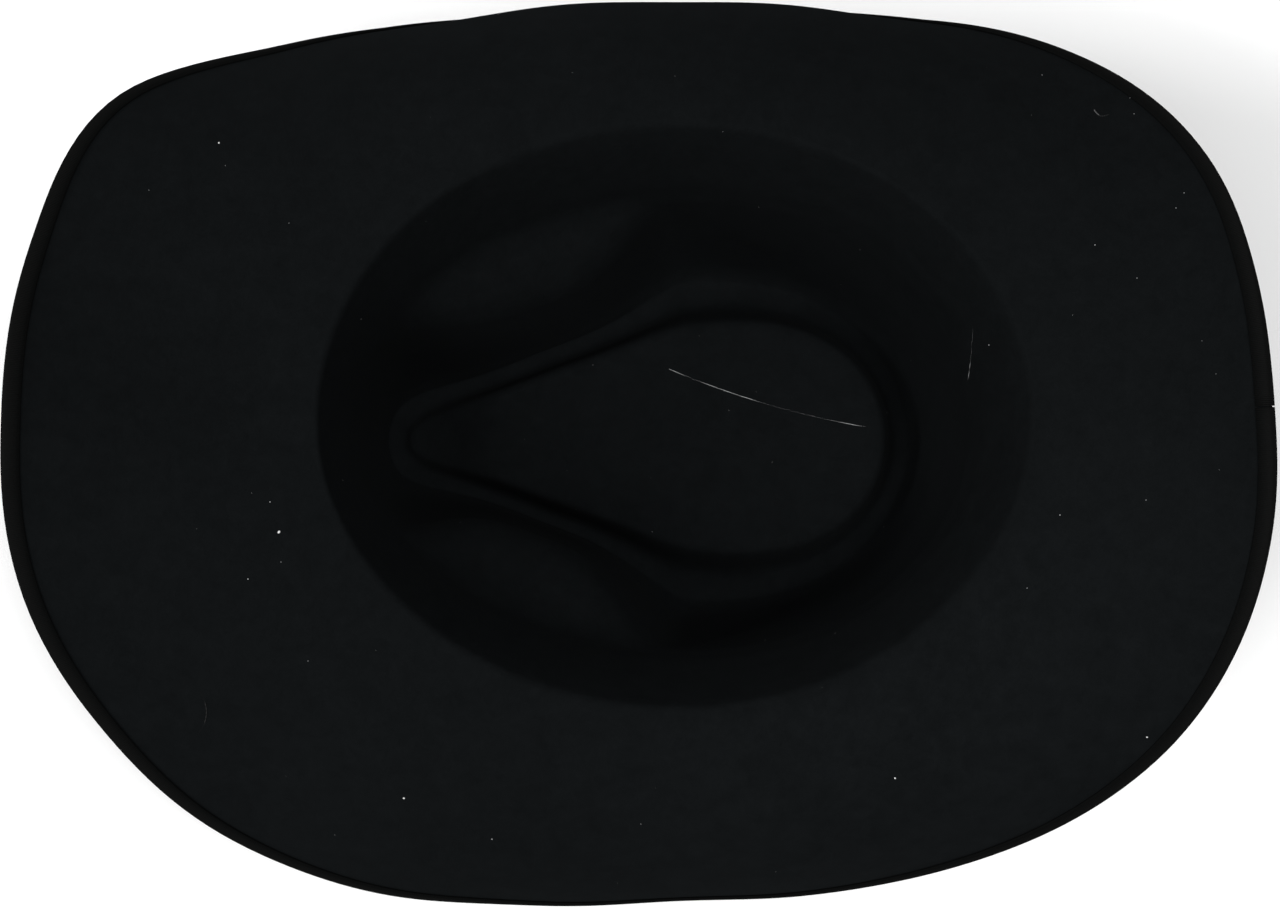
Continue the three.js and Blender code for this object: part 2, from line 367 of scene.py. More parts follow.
def make_object(
    name: str, points: np.ndarray, faces: list[list[int]], uv: np.ndarray | None = None
) -> bpy.types.Object:
    """Makes a smooth mesh object at the origin.

    Args:
        name: Name of the object and its mesh.
        points: Points in the frame.
        faces: Corner numbers of each face.
        uv: One pair a point, or nothing.

    Returns:
        The linked object.
    """
    mesh = bpy.data.meshes.new(name)
    mesh.from_pydata(points.reshape(-1, 3).tolist(), [], faces)
    mesh.polygons.foreach_set("use_smooth", np.ones(len(mesh.polygons), dtype=bool))
    if uv is not None:
        corner = np.empty(len(mesh.loops), dtype=np.int32)
        mesh.loops.foreach_get("vertex_index", corner)
        layer = mesh.uv_layers.new(name="UVMap")
        layer.data.foreach_set("uv", uv.reshape(-1, 2)[corner].ravel())
    mesh.update()
    made = bpy.data.objects.new(name, mesh)
    bpy.context.scene.collection.objects.link(made)
    return made


@dataclass
class HatShape:
    """The felt's inner face as a function of the angle round the hat and the way outwards."""

    sizes: HatSizes = field(default_factory=HatSizes)
    arc_steps: int = 24

    def egg(self, length: float, width: float, egg: float, forward: float, angles: np.ndarray) -> np.ndarray:
        """Egg-shaped outline: half the length times the cosine, half the width times the sine.

        Args:
            length: Length front to back.
            width: Width side to side.
            egg: How much wider the back is, as a share.
            forward: How far its middle lies towards the front.
            angles: Angles in radians.

        Returns:
            Plan points.
        """
        across = 0.5 * width * np.sin(angles) * (1 + egg * np.cos(angles))
        return np.stack([0.5 * length * np.cos(angles) - forward, across], axis=-1)

    def outlines(self, zone: Zone, angles: np.ndarray) -> tuple[np.ndarray, np.ndarray, float]:
        """Outlines that a zone starts from and ends on, and its height.

        Args:
            zone: The part of the crown.
            angles: Angles in radians.

        Returns:
            Plan points of both outlines, and the height.
        """
        s = self.sizes
        plateau = self.egg(s.plateau_length, s.plateau_width, s.plateau_egg, s.ridge_forward, angles)
        ridge = self.egg(s.ridge_length, s.ridge_width, s.ridge_egg, s.ridge_forward, angles)
        opening = self.egg(s.opening_length, s.opening_width, 0.0, 0.0, angles)
        middle = np.broadcast_to(np.array([-s.ridge_forward, 0.0]), plateau.shape)
        return {
            Zone.PLATEAU: (middle, plateau, s.plateau_depth),
            Zone.RIDGE: (plateau, ridge, s.plateau_depth),
            Zone.WALL: (ridge, opening, s.crown_height),
        }[zone]

    def pinch(self, row: CrownRow, angles: np.ndarray) -> np.ndarray:
        """Depth of the front pinches: a squared cosine of a power of the distance from their middle.

        Args:
            row: The section.
            angles: Angles in radians.

        Returns:
            How far the felt is pushed towards the middle.
        """
        s = self.sizes
        degrees = np.degrees(np.mod(angles, 2 * np.pi))
        from_back = 180 - np.abs(degrees - 180)
        push = np.zeros_like(angles)
        for pinch in PINCHES:
            own = np.sign(np.sin(angles)) == pinch.side
            back = from_back < pinch.angle
            reach = np.where(back, pinch.back * row.back, pinch.front * row.front)
            away = np.minimum(np.abs(from_back - pinch.angle) / reach, 1.0)
            power = np.where(back, s.pinch_corner, s.pinch_fade)
            push += own * pinch.depth * np.cos(0.5 * np.pi * away**power) ** 2
        return s.pinch_depth * row.pinch * push

    def dent_share(self, x: np.ndarray) -> np.ndarray:
        """Share of the dent's depth along the hat: a smooth step up from the teardrop's tip.

        Args:
            x: Places along the hat.

        Returns:
            One share a place.
        """
        s = self.sizes
        tip = -s.ridge_forward - 0.5 * s.plateau_length
        way = np.clip((x - tip) / s.tip_length, 0.0, 1.0)
        least = s.tip_depth / s.plateau_depth
        return least + (1 - least) * way**2 * (3 - 2 * way)

    def crown_ring(self, row: CrownRow, angles: np.ndarray) -> np.ndarray:
        """Points of the crown's inner face on one section.

        Args:
            row: The section.
            angles: Angles in radians.

        Returns:
            One point an angle.
        """
        inner, outer, height = self.outlines(row.zone, angles)
        plan = inner + row.share * (outer - inner)
        plan[:, 1] -= np.sign(np.sin(angles)) * self.pinch(row, angles)
        outward = unit(plan - np.array([-self.sizes.ridge_forward, 0.0]))
        plan = plan + row.land * self.sizes.land_width * outward
        depth = 1.0 if row.zone is Zone.WALL else self.dent_share(plan[:, 0])
        return as_points(plan[:, 0], plan[:, 1], self.sizes.felt + height * row.height * depth)

    def brim_ring(self, share: float, angles: np.ndarray) -> np.ndarray:
        """Points of the brim's inner face part of the way to its edge, along a slope that turns evenly.

        Args:
            share: Share of the felt's width.
            angles: Angles in radians.

        Returns:
            One point an angle.
        """
        s = self.sizes
        table = np.array(BRIM_ROWS, dtype=float)
        width = s.brim_width * closed_curve(table[:, 0], angles)
        start = np.radians(closed_curve(table[:, 1], angles))
        end = np.radians(closed_curve(table[:, 2], angles))
        across = [np.cos(angles) / s.opening_length, np.sin(angles) / s.opening_width]
        out = unit(np.stack(across, axis=-1))
        way = (np.arange(self.arc_steps) + 0.5) / self.arc_steps * share
        slope = start + (end - start) * way[:, None]
        step = width * share / self.arc_steps
        reach = (step * np.cos(slope)).sum(axis=0)
        rise = (step * np.sin(slope)).sum(axis=0)
        ring = self.crown_ring(CROWN_ROWS[-1], angles)
        ring[:, :2] += out * reach[:, None]
        ring[:, 2] += rise
        return ring

    def inner_face(self, angles: np.ndarray, pitch: float, brim_rows: int) -> np.ndarray:
        """The whole inner face, from the plateau's middle to the brim's edge.

        Args:
            angles: Angles in radians, one a column.
            pitch: Distance between rows on the crown.
            brim_rows: Number of rows on the brim.

        Returns:
            Points, rows first. The first row is a tight ring round the plateau's middle.
        """
        middle = CROWN_ROWS[0]._replace(share=0.02)
        rings = [self.crown_ring(row, angles) for row in (middle, *CROWN_ROWS)]
        shares = np.linspace(0.0, 1.0, brim_rows + 1)[1:]
        rings += [self.brim_ring(share, angles) for share in shares]
        rows = np.stack(rings)
        gaps = np.linalg.norm(np.diff(rows, axis=0), axis=-1).max(axis=1)
        return spline_rows(rows, np.maximum(1, np.ceil(gaps / pitch)).astype(int))


@dataclass(frozen=True)
class HandShaping:
    """Slight unevenness of felt that was shaped by hand, as a sum of plane waves over the plan."""

    seed: int = 11
    waves: int = 14
    shortest: float = 45 * MM
    longest: float = 150 * MM
    height: float = 0.45 * MM
    still: float = 4 * MM
    fade: float = 30 * MM

    def lift(self, points: np.ndarray) -> np.ndarray:
        """How far each point is raised along its normal, fading to nothing at the ridge that rests.

        Args:
            points: Points in the frame.

        Returns:
            One height a point.
        """
        draw = np.random.default_rng(self.seed)
        turn = draw.uniform(0, 2 * np.pi, self.waves)
        phase = draw.uniform(0, 2 * np.pi, self.waves)
        length = draw.uniform(self.shortest, self.longest, self.waves)
        along = points[..., 0:1] * np.cos(turn) + points[..., 1:2] * np.sin(turn)
        wave = np.sin(2 * np.pi * along / length + phase).sum(axis=-1)
        rise = np.clip((points[..., 2] - self.still) / self.fade, 0.0, 1.0)
        return self.height * wave / math.sqrt(self.waves) * rise


class Grain(NamedTuple):
    """One noise of a finish: scale, octaves, roughness, distortion and the range of it that shows."""

    scale: float
    detail: float
    roughness: float
    twist: float = 0.0
    low: float = 0.3
    high: float = 0.7


class Wiring:
    """A material's node tree with short calls for the nodes that the finishes share."""

    def __init__(self, name: str) -> None:
        """Makes a material with one principled shader.

        Args:
            name: Name of the material.
        """
        self.material = bpy.data.materials.new(name)
        self.material.use_nodes = True
        self.tree = self.material.node_tree
        self.tree.nodes.clear()
        self.shader = self.tree.nodes.new("ShaderNodeBsdfPrincipled")
        output = self.tree.nodes.new("ShaderNodeOutputMaterial")
        self.join(self.shader.outputs["BSDF"], output.inputs["Surface"])

    def join(self, start: bpy.types.NodeSocket, end: bpy.types.NodeSocket) -> None:
        """Links two sockets."""
        self.tree.links.new(start, end)

    def place(
        self, scale: Triple = (1.0, 1.0, 1.0), uv: bool = False, shift: Triple = (0.0, 0.0, 0.0)
    ) -> bpy.types.NodeSocket:
        """Object coordinates, or the piece's UV map, times a scale and moved by a shift.

        Args:
            scale: Factor on each axis.
            uv: Whether to read the UV map.
            shift: What is added after the scale.

        Returns:
            The vector socket.
        """
        source = self.tree.nodes.new("ShaderNodeTexCoord")
        mapping = self.tree.nodes.new("ShaderNodeMapping")
        mapping.inputs["Scale"].default_value = scale
        mapping.inputs["Location"].default_value = shift
        self.join(source.outputs["UV" if uv else "Object"], mapping.inputs["Vector"])
        return mapping.outputs["Vector"]

    def length(self, vector: bpy.types.NodeSocket) -> bpy.types.NodeSocket:
        """Returns the socket with a vector's length."""
        node = self.tree.nodes.new("ShaderNodeVectorMath")
        node.operation = "LENGTH"
        self.join(vector, node.inputs[0])
        return node.outputs["Value"]

    def noise(self, vector: bpy.types.NodeSocket, grain: Grain) -> bpy.types.NodeSocket:
        """A noise texture's value.

        Args:
            vector: Where to read it.
            grain: Which noise.

        Returns:
            The value socket.
        """
        node = self.tree.nodes.new("ShaderNodeTexNoise")
        self.join(vector, node.inputs["Vector"])
        node.inputs["Scale"].default_value = grain.scale
        node.inputs["Detail"].default_value = grain.detail
        node.inputs["Roughness"].default_value = grain.roughness
        node.inputs["Distortion"].default_value = grain.twist
        return node.outputs["Fac"]

    def tone(self, value: bpy.types.NodeSocket, grain: Grain, share: float) -> bpy.types.NodeSocket:
        """Returns what a noise's value adds to the tone, from nothing to a share."""
        return self.ramp(value, grain.low, grain.high, 0.0, share)

    def ramp(
        self, value: bpy.types.NodeSocket, low: float, high: float, dark: float, light: float
    ) -> bpy.types.NodeSocket:
        """Maps a range of values to another and holds it there.

        Args:
            value: The value to map.
            low: Value that becomes dark.
            high: Value that becomes light.
            dark: Lowest result.
            light: Highest result.

        Returns:
            The mapped value socket.
        """
        node = self.tree.nodes.new("ShaderNodeMapRange")
        self.join(value, node.inputs["Value"])
        for key, number in zip(("From Min", "From Max", "To Min", "To Max"), (low, high, dark, light)):
            node.inputs[key].default_value = number
        return node.outputs["Result"]

    def math(
        self, work: str, first: bpy.types.NodeSocket, second: bpy.types.NodeSocket | float
    ) -> bpy.types.NodeSocket:
        """Joins two values by a sum, product or the like.

        Args:
            work: Name of the operation.
            first: First value.
            second: Second value, a socket or a number.

        Returns:
            The result socket.
        """
        node = self.tree.nodes.new("ShaderNodeMath")
        node.operation = work
        self.join(first, node.inputs[0])
        if isinstance(second, bpy.types.NodeSocket):
            self.join(second, node.inputs[1])
        else:
            node.inputs[1].default_value = second
        return node.outputs["Value"]

    def colour(self, mix: bpy.types.NodeSocket, dark: Triple, light: Triple) -> bpy.types.NodeSocket:
        """A colour between two, by a value.

        Args:
            mix: The value, from 0 to 1.
            dark: Colour at 0.
            light: Colour at 1.

        Returns:
            The colour socket.
        """
        node = self.tree.nodes.new("ShaderNodeMix")
        node.data_type = "RGBA"
        node.clamp_factor = False
        self.join(mix, node.inputs["Factor"])
        node.inputs["A"].default_value = (*dark, 1.0)
        node.inputs["B"].default_value = (*light, 1.0)
        return node.outputs["Result"]

    def bump(
        self, height: bpy.types.NodeSocket, strength: float, distance: float,
        under: bpy.types.NodeSocket | None = None,
    ) -> bpy.types.NodeSocket:
        """A bump from a height, on top of another if one is given.

        Args:
            height: The height value.
            strength: How much of it shows.
            distance: Height of a full step in metres.
            under: Normal that it is laid on.

        Returns:
            The normal socket.
        """
        node = self.tree.nodes.new("ShaderNodeBump")
        node.inputs["Strength"].default_value = strength
        node.inputs["Distance"].default_value = distance
        self.join(height, node.inputs["Height"])
        if under is not None:
            self.join(under, node.inputs["Normal"])
        return node.outputs["Normal"]

    def constants(self, **values: float) -> None:
        """Sets numbers on the shader's own sockets, with spaces written as underscores."""
        for name, value in values.items():
            self.shader.inputs[name.replace("_", " ")].default_value = value


@dataclass(frozen=True)
class FeltFinish:
    """Black wool felt: nearly black with a faint cool cast and a short matted nap.

    Every face that looks up is painted lighter: painted light from above. The brim is also lighter in
    blotches, most round one place at the back right.
    """

    dark: Triple = (0.0027, 0.0031, 0.0033)
    light: Triple = (0.0056, 0.0064, 0.0069)
    cloud: Grain = Grain(16.0, 3.0, 0.5)
    mottle: Grain = Grain(120.0, 4.0, 0.6, 0.4)
    matting: Grain = Grain(300.0, 4.0, 0.65, 0.8)
    fibre: Grain = Grain(1500.0, 5.0, 0.72, 1.6, high=0.75)
    blotch: Grain = Grain(110.0, 4.0, 0.7, 0.6, low=0.36, high=0.66)
    nap_height: float = 0.35 * MM
    matting_height: float = 0.6 * MM
    sheen: float = 0.006
    sheen_tint: Triple = (0.75, 0.82, 0.86)
    # Lighter blotches on the brim, outside the opening and fading out from one middle at the back right.
    opening: tuple[float, float] = (207 * MM, 170 * MM)
    opening_middle: tuple[float, float] = (11.0 * MM, 7.3 * MM)
    blotch_middle: tuple[float, float] = (82 * MM, -72 * MM)
    blotch_reach: float = 115 * MM
    blotch_share: float = 0.48
    # Painted light from above: the share by which faces that look up are made lighter.
    painted_top_light_share: float = 0.12

    def brim_blotches_and_painted_top_light(self, w: Wiring) -> bpy.types.NodeSocket:
        """How much lighter the felt is made, by brim blotches and painted light from above, from 0 to the
        finish's two shares together.

        Args:
            w: The material's node tree.

        Returns:
            The value socket.
        """
        half = (0.5 * self.opening[0], 0.5 * self.opening[1])
        shares = (1 / half[0], 1 / half[1], 0.0)
        middle = (-self.opening_middle[0] / half[0], -self.opening_middle[1] / half[1], 0.0)
        # Lighter blotches on the brim, most round one place at the back right.
        outside = w.ramp(w.length(w.place(shares, shift=middle)), 0.99, 1.06, 0.0, 1.0)
        reach = 1 / self.blotch_reach
        middle = (-self.blotch_middle[0] * reach, -self.blotch_middle[1] * reach, 0.0)
        near = w.ramp(w.length(w.place((reach, reach, 0.0), shift=middle)), 0.25, 1.0, 1.0, 0.0)
        blotches = w.ramp(w.noise(w.place(), self.blotch), self.blotch.low, self.blotch.high, 0.3, 1.0)
        patch = w.math("MULTIPLY", w.math("MULTIPLY", outside, near), blotches)
        patch = w.math("MULTIPLY", patch, self.blotch_share)
        # Painted light from above: faces that look up are made lighter.
        face = w.tree.nodes.new("ShaderNodeNewGeometry")
        parts = w.tree.nodes.new("ShaderNodeSeparateXYZ")
        w.join(face.outputs["Normal"], parts.inputs["Vector"])
        return w.math("ADD", patch, w.ramp(parts.outputs["Z"], 0.3, 0.9, 0.0, self.painted_top_light_share))

    def build(self) -> bpy.types.Material:
        """Wires the material and returns it."""
        w = Wiring("felt_nap")
        place = w.place()
        cloud = w.noise(place, self.cloud)
        mottle = w.noise(place, self.mottle)
        fibre = w.noise(place, self.fibre)
        matting = w.noise(place, self.matting)
        tone = w.math("ADD", w.tone(cloud, self.cloud, 0.12), w.tone(mottle, self.mottle, 0.24))
        tone = w.math("ADD", tone, w.tone(matting, self.matting, 0.24))
        tone = w.math("ADD", tone, w.tone(fibre, self.fibre, 0.4))
        # Adds the brim blotches and the painted light from above.
        tone = w.math("ADD", tone, self.brim_blotches_and_painted_top_light(w))
        base = w.colour(tone, self.dark, self.light)
        w.join(base, w.shader.inputs["Base Color"])
        nap = w.bump(fibre, 0.55, self.nap_height)
        w.join(w.bump(matting, 0.35, self.matting_height, nap), w.shader.inputs["Normal"])
        w.constants(Roughness=0.95, Specular_IOR_Level=0.0, Sheen_Weight=self.sheen, Sheen_Roughness=0.5)
        w.shader.inputs["Sheen Tint"].default_value = (*self.sheen_tint, 1.0)
        return w.material


@dataclass(frozen=True)
class StripFinish:
    """Woven strip folded round the edge: fine ribs across it, with painted shade by the lip and a painted
    highlight along the rim.
    """

    dark: Triple = (0.0022, 0.0024, 0.0024)
    light: Triple = (0.0057, 0.0058, 0.0057)
    fuzz: Grain = Grain(1400.0, 4.0, 0.7, low=0.25, high=0.75)
    fuzz_height: float = 0.2 * MM
    rib: float = 0.55 * MM
    rib_height: float = 0.25 * MM
    # Distances from the lip over which the painted shade by the lip turns to the painted highlight along the
    # rim.
    rim: tuple[float, float] = (1.0 * MM, 3.4 * MM)

    def build(self) -> bpy.types.Material:
        """Wires the material and returns it."""
        w = Wiring("strip_weave")
        place = w.place(uv=True)
        rib = w.tree.nodes.new("ShaderNodeTexWave")
        rib.wave_type = "BANDS"
        rib.bands_direction = "X"
        rib.inputs["Scale"].default_value = 0.314 / self.rib
        rib.inputs["Distortion"].default_value = 0.6
        rib.inputs["Detail"].default_value = 1.0
        w.join(place, rib.inputs["Vector"])
        fuzz = w.noise(w.place(), self.fuzz)
        parts = w.tree.nodes.new("ShaderNodeSeparateXYZ")
        w.join(place, parts.inputs["Vector"])
        # Painted shade by the lip, turning to a painted highlight along the rim.
        painted_lip_shade_rim_light = w.ramp(parts.outputs["Y"], self.rim[0], self.rim[1], 0.0, 0.5)
        ribbed = w.ramp(rib.outputs["Fac"], 0.0, 1.0, 0.0, 0.2)
        tone = w.math("ADD", w.tone(fuzz, self.fuzz, 0.3), ribbed)
        base = w.colour(w.math("ADD", tone, painted_lip_shade_rim_light), self.dark, self.light)
        w.join(base, w.shader.inputs["Base Color"])
        ribs = w.bump(rib.outputs["Fac"], 0.5, self.rib_height)
        w.join(w.bump(fuzz, 0.3, self.fuzz_height, ribs), w.shader.inputs["Normal"])
        w.constants(Roughness=0.95, Specular_IOR_Level=0.0, Sheen_Weight=0.004, Sheen_Roughness=0.5)
        return w.material


@dataclass(frozen=True)
class PlainFinish:
    """A matt finish with a little tone variation, for lint and the floor."""

    name: str
    dark: Triple
    light: Triple
    scale: float
    roughness: float = 0.8

    def build(self) -> bpy.types.Material:
        """Wires the material and returns it."""
        w = Wiring(self.name)
        tone = w.noise(w.place(), Grain(self.scale, 2.0, 0.5))
        w.join(w.colour(tone, self.dark, self.light), w.shader.inputs["Base Color"])
        w.constants(Roughness=self.roughness, Specular_IOR_Level=0.1)
        return w.material


@dataclass
class FeltHat:
    """The felt body and the strip round its edge."""

    shape: HatShape = field(default_factory=HatShape)
    shaping: HandShaping = field(default_factory=HandShaping)
    columns: int = 272
    crown_pitch: float = 2.6 * MM
    brim_rows: int = 36
    strip_gap: float = 0.15 * MM
    strip_wall: float = 0.75 * MM
    seam_gap: float = 0.35 * MM
    fold_points: int = 11
    inner: np.ndarray = field(init=False)
    normals: np.ndarray = field(init=False)

    def __post_init__(self) -> None:
        """Works out the inner face, with its unevenness, and its normals."""
        angles = 2 * np.pi * np.arange(self.columns) / self.columns
        grid = self.shape.inner_face(angles, self.crown_pitch, self.brim_rows)
        grid = grid + grid_normals(grid) * self.shaping.lift(grid)[..., None]
        grid[..., 2] = np.maximum(grid[..., 2], self.shape.sizes.felt)
        self.normals = grid_normals(grid)
        self.inner = grid

    def settle(self, low: np.ndarray, high: np.ndarray) -> None:
        """Moves the grid in plan so that its middle is the middle of the solid's box.

        Args:
            low: Lowest corner of the solid.
            high: Highest corner of the solid.
        """
        both = np.concatenate([self.inner.reshape(-1, 3), self.outer_face().reshape(-1, 3)])
        own = 0.5 * (both.min(axis=0) + both.max(axis=0))
        self.inner[..., :2] += (0.5 * (low + high) - own)[:2]

    def outer_face(self) -> np.ndarray:
        """The face on the other side of the felt, held on the floor where it rests."""
        outer = self.inner - self.normals * self.shape.sizes.felt
        outer[..., 2] = np.maximum(outer[..., 2], 0.0)
        return outer

    def felt_body(self) -> bpy.types.Object:
        """Builds the felt body as a closed wall of even thickness.

        Returns:
            The object.
        """
        outer = self.outer_face()
        loops = np.concatenate([self.inner, outer[::-1]])
        faces = grid_faces(len(loops), self.columns).tolist()
        ring = list(range(self.columns))
        last = (len(loops) - 1) * self.columns
        faces.append(ring)
        faces.append([last + k for k in reversed(ring)])
        return make_object("felt_hat", loops, faces)

    def edge_strip(self) -> bpy.types.Object:
        """Builds the strip: a folded channel carried along the brim's edge, open at the centre back.

        Returns:
            The object.
        """
        sizes = self.shape.sizes
        lengths = np.linalg.norm(self.inner[-1] - self.inner[-2], axis=-1)
        back = np.clip(sizes.binding_width / lengths, 0.0, 4.0)[:, None]
        whole = np.floor(back).astype(int)[:, 0]
        columns = np.arange(self.columns)
        part = back - whole[:, None]
        near = self.inner[-1 - whole, columns]
        lip = near + part * (self.inner[-2 - whole, columns] - near)
        lip_normal = self.normals[-1 - whole, columns] * (1 - part)
        lip_normal = unit(lip_normal + self.normals[-2 - whole, columns] * part)
        edge = self.inner[-1]
        edge_normal = self.normals[-1]
        along = edge - lip
        along = unit(along - edge_normal * (along * edge_normal).sum(axis=-1, keepdims=True))
        half = 0.5 * sizes.felt
        inside = self.strip_gap
        outside = self.strip_gap + self.strip_wall
        turn = np.linspace(0.5 * np.pi, -0.5 * np.pi, self.fold_points)

        def fold(reach: float) -> np.ndarray:
            """Half round fold past the edge, at a distance from the felt's faces."""
            centre = edge - edge_normal * half
            over = along[None] * np.cos(turn)[:, None, None] * reach
            up = edge_normal[None] * np.sin(turn)[:, None, None] * (half + reach)
            return centre[None] + over + up

        def leg(reach: float, top: bool, shares: np.ndarray) -> np.ndarray:
            """Straight leg between the lip and the fold, at a distance from the felt's face."""
            height = reach if top else -sizes.felt - reach
            start = lip + lip_normal * height
            end = edge + edge_normal * height
            return start[None] + shares[:, None, None] * (end - start)[None]

        out_shares = np.array([0.05, 0.3, 0.6, 0.85])
        in_shares = np.array([0.9, 0.45, 0.0])
        lip_share = np.array([-0.04])
        lip_mid = 0.5 * (inside + outside)
        section = np.concatenate([
            leg(lip_mid, True, lip_share),
            leg(outside, True, out_shares),
            fold(outside),
            leg(outside, False, out_shares[::-1]),
            leg(lip_mid, False, lip_share),
            leg(inside, False, in_shares[::-1]),
            fold(inside)[::-1],
            leg(inside, True, in_shares),
        ])
        gap = self.seam_gap / np.linalg.norm(edge[1] - edge[0])
        first = section[:, :1] * (1 - 0.5 * gap) + section[:, 1:2] * 0.5 * gap
        final = section[:, :1] * (1 - 0.5 * gap) + section[:, -1:] * 0.5 * gap
        strip = np.concatenate([first, section[:, 1:], final], axis=1)
        rows, columns_out = strip.shape[:2]
        across = run_length(strip[:, 0])
        run = run_length(strip[1 + len(out_shares)])
        lips = 2 + 2 * len(out_shares) + len(turn)
        from_lip = np.minimum(across, np.maximum(across[lips - 1] - across, 0.0))
        uv = np.stack(np.broadcast_arrays(run[None, :], from_lip[:, None]), axis=-1)
        faces = grid_faces(rows, columns_out, closed=False).tolist()
        faces += [
            [(rows - 1) * columns_out + c, c, c + 1, (rows - 1) * columns_out + c + 1]
            for c in range(columns_out - 1)
        ]
        start = [r * columns_out for r in range(rows)]
        faces.append(start)
        faces.append([k + columns_out - 1 for k in reversed(start)])
        return make_object("edge_strip", strip, faces, uv)


@dataclass
class PhotoCamera:
    """The camera of the photograph, almost straight above the opening and a little towards the right side."""

    elevation: float = 86.1
    distance: float = 1.0
    aim: Triple = (0.6 * MM, -4.0 * MM, 107.2 * MM)
    pixels_per_metre: float = 3460.0
    image: tuple[int, int] = (1280, 908)
    sensor: float = 36.0

    def axes(self) -> tuple[np.ndarray, np.ndarray, np.ndarray]:
        """The camera's right, up and forward directions."""
        tilt = math.radians(self.elevation)
        forward = np.array([0.0, math.cos(tilt), -math.sin(tilt)])
        up = np.array([0.0, math.sin(tilt), math.cos(tilt)])
        return np.array([1.0, 0.0, 0.0]), up, forward

    def place(self) -> np.ndarray:
        """Where the camera stands."""
        return np.array(self.aim) - self.axes()[2] * self.distance

    def pixels(self, points: np.ndarray) -> np.ndarray:
        """Picture coordinates of points in the photograph's frame.

        Args:
            points: Points in the frame.

        Returns:
            Pixel columns and rows.
        """
        right, up, forward = self.axes()
        away = points - self.place()
        depth = away @ forward
        focus = self.pixels_per_metre * self.distance
        x = self.image[0] / 2 + focus * (away @ right) / depth
        y = self.image[1] / 2 - focus * (away @ up) / depth
        return np.stack([x, y], axis=-1)

    def rays(self, pixels: np.ndarray) -> np.ndarray:
        """Directions from the camera through picture coordinates.

        Args:
            pixels: Pixel columns and rows in the photograph's frame.

        Returns:
            One direction a pixel, one metre deep.
        """
        right, up, forward = self.axes()
        focus = self.pixels_per_metre * self.distance
        x = (pixels[:, :1] - self.image[0] / 2) / focus
        y = (self.image[1] / 2 - pixels[:, 1:]) / focus
        return forward + x * right + y * up

    def build(self) -> bpy.types.Object:
        """Makes the camera and returns it."""
        data = bpy.data.cameras.new("camera")
        data.sensor_width = self.sensor
        data.lens = self.pixels_per_metre * self.distance / self.image[0] * self.sensor
        data.clip_end = 50.0
        made = bpy.data.objects.new("camera", data)
        made.location = self.place().tolist()
        made.rotation_euler = (math.radians(90.0 - self.elevation), 0.0, 0.0)
        bpy.context.scene.collection.objects.link(made)
        bpy.context.scene.camera = made
        return made


